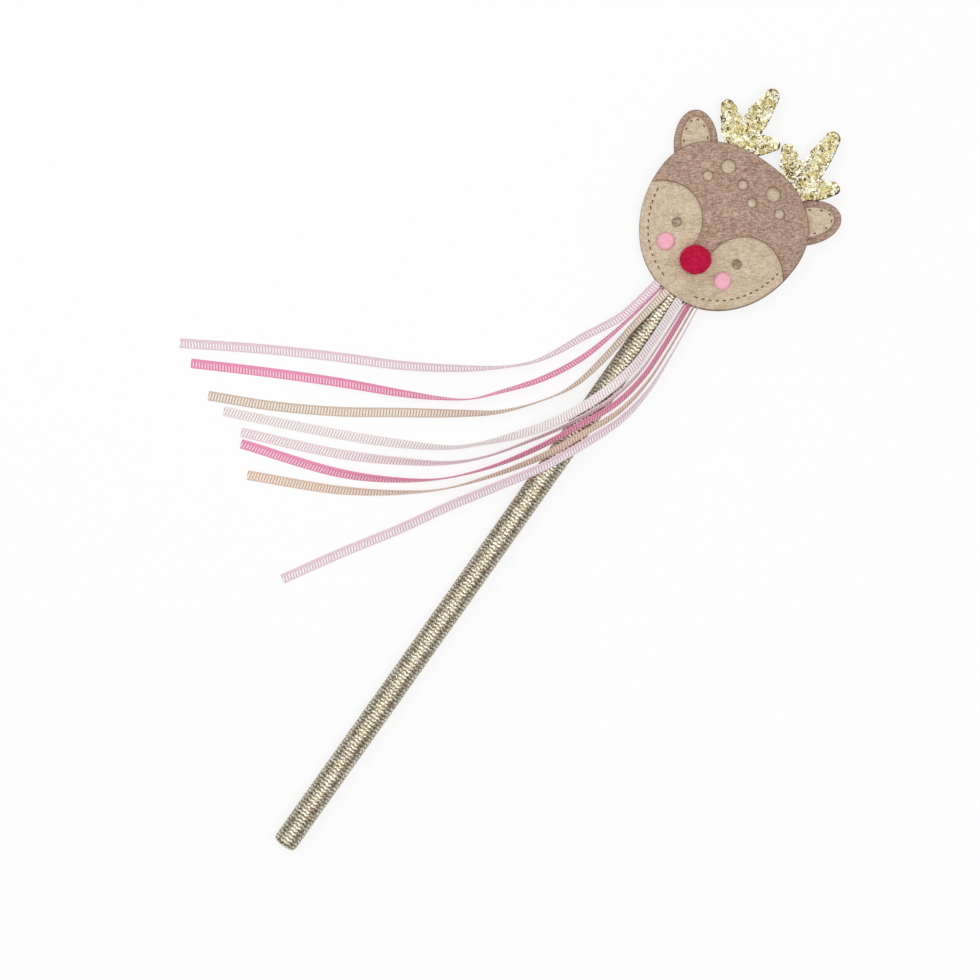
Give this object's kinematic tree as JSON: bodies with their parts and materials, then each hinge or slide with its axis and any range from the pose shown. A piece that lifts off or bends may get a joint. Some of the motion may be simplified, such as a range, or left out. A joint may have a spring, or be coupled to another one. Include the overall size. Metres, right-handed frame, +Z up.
{
  "type": "toy magic wand",
  "caption": "Toy magic wand: a stuffed felt deer head with bending ears and glitter antlers on a gold fabric-covered stick, with ribbed ribbons streaming from the neck.",
  "frame": {"origin": "on the table under the middle of the wand's length, ribbons left out", "axes": "+Y along the stick from the butt to the head, +Z up from the table out of the face, +X to the right seen from above"},
  "size_m": [0.1904, 0.361, 0.0229],
  "materials": {
    "wood": "plain turned dowel",
    "gold_fabric": "ribbed metallic gold cloth",
    "glue": "set glue and fibre",
    "brown_felt": "pressed wool felt, taupe brown",
    "beige_felt": "pressed wool felt, beige",
    "pink_felt": "pressed felt, pink",
    "pompom": "soft felted ball, rose",
    "fibre": "polyester filling",
    "thread": "dark brown sewing thread",
    "gold_glitter": "coarse pale gold glitter sheet",
    "antler_backing": "dark backing cloth",
    "ribbon_light_pink": "ribbed ribbon, light pink",
    "ribbon_hot_pink": "ribbed ribbon, hot pink",
    "ribbon_beige": "ribbed ribbon, beige",
    "ribbon_white": "ribbed ribbon, white",
    "ribbon_pale_pink": "ribbed ribbon, pale pink",
    "ribbon_peach": "ribbed ribbon, peach"
  },
  "bodies": {
    "wand": {"dowel_core": "wood", "glitter_sleeve": "gold_fabric", "neck_plug": "glue", "back_panel": "brown_felt", "stuffing": "fibre", "front_panel": "brown_felt", "face_panel": "beige_felt", "forehead_panel": "brown_felt", "nose_pompom": "pompom", "cheek_left": "pink_felt", "cheek_right": "pink_felt", "rim_stitches_left": "thread", "rim_stitches_right": "thread"},
    "ear_left": {"ear_left_outer": "brown_felt", "ear_left_inner": "beige_felt", "ear_left_stitches": "thread"},
    "ear_right": {"ear_right_outer": "brown_felt", "ear_right_inner": "beige_felt", "ear_right_stitches": "thread"},
    "antler_left": {"antler_left_glitter": "gold_glitter", "antler_left_backing": "antler_backing"},
    "antler_right": {"antler_right_glitter": "gold_glitter", "antler_right_backing": "antler_backing"},
    "ribbon_1_tail": {"ribbon_1": "ribbon_light_pink"},
    "ribbon_2_tail": {"ribbon_2": "ribbon_hot_pink"},
    "ribbon_3_tail": {"ribbon_3": "ribbon_beige"},
    "ribbon_4_tail": {"ribbon_4": "ribbon_white"},
    "ribbon_5_tail": {"ribbon_5": "ribbon_pale_pink"},
    "ribbon_6_tail": {"ribbon_6": "ribbon_hot_pink"},
    "ribbon_7_tail": {"ribbon_7": "ribbon_peach"},
    "ribbon_8_tail": {"ribbon_8": "ribbon_light_pink"}
  },
  "joints": [
    {"name": "ear_left_bend", "type": "hinge", "parent": "wand", "child": "ear_left", "pos_m": [-0.02917, 0.14614, 0.005], "axis": [0.7431, 0.6691, 0], "range_deg": [-45, 45], "stiffness_Nm_per_rad": 0.002},
    {"name": "ear_right_bend", "type": "hinge", "parent": "wand", "child": "ear_right", "pos_m": [0.02917, 0.14614, 0.005], "axis": [0.7431, -0.6691, 0], "range_deg": [-45, 45], "stiffness_Nm_per_rad": 0.002},
    {"name": "antler_left_bend", "type": "hinge", "parent": "wand", "child": "antler_left", "pos_m": [-0.01385, 0.15508, 0.005], "axis": [0.965, 0.2621, 0], "range_deg": [-40, 40], "stiffness_Nm_per_rad": 0.002},
    {"name": "antler_right_bend", "type": "hinge", "parent": "wand", "child": "antler_right", "pos_m": [0.01749, 0.15389, 0.005], "axis": [0.9341, -0.3571, 0], "range_deg": [-40, 40], "stiffness_Nm_per_rad": 0.002},
    {"name": "ribbon_1_lift", "type": "hinge", "parent": "wand", "child": "ribbon_1_tail", "pos_m": [-0.0078, 0.0892, 0.00757], "axis": [-1, 0, 0], "range_deg": [0, 60]},
    {"name": "ribbon_2_lift", "type": "hinge", "parent": "wand", "child": "ribbon_2_tail", "pos_m": [-0.0055, 0.0887, 0.00891], "axis": [-1, 0, 0], "range_deg": [0, 60]},
    {"name": "ribbon_3_lift", "type": "hinge", "parent": "wand", "child": "ribbon_3_tail", "pos_m": [-0.0029, 0.0885, 0.01109], "axis": [-1, 0, 0], "range_deg": [0, 60]},
    {"name": "ribbon_4_lift", "type": "hinge", "parent": "wand", "child": "ribbon_4_tail", "pos_m": [0.0031, 0.0885, 0.01104], "axis": [-1, 0, 0], "range_deg": [0, 60]},
    {"name": "ribbon_5_lift", "type": "hinge", "parent": "wand", "child": "ribbon_5_tail", "pos_m": [0.0059, 0.0887, 0.00872], "axis": [-1, 0, 0], "range_deg": [0, 60]},
    {"name": "ribbon_6_lift", "type": "hinge", "parent": "wand", "child": "ribbon_6_tail", "pos_m": [0.0076, 0.089, 0.00777], "axis": [-1, 0, 0], "range_deg": [0, 60]},
    {"name": "ribbon_7_lift", "type": "hinge", "parent": "wand", "child": "ribbon_7_tail", "pos_m": [0.0096, 0.0896, 0.00751], "axis": [-1, 0, 0], "range_deg": [0, 60]},
    {"name": "ribbon_8_lift", "type": "hinge", "parent": "wand", "child": "ribbon_8_tail", "pos_m": [0.0112, 0.09, 0.00711], "axis": [-1, 0, 0], "range_deg": [0, 60]}
  ]
}
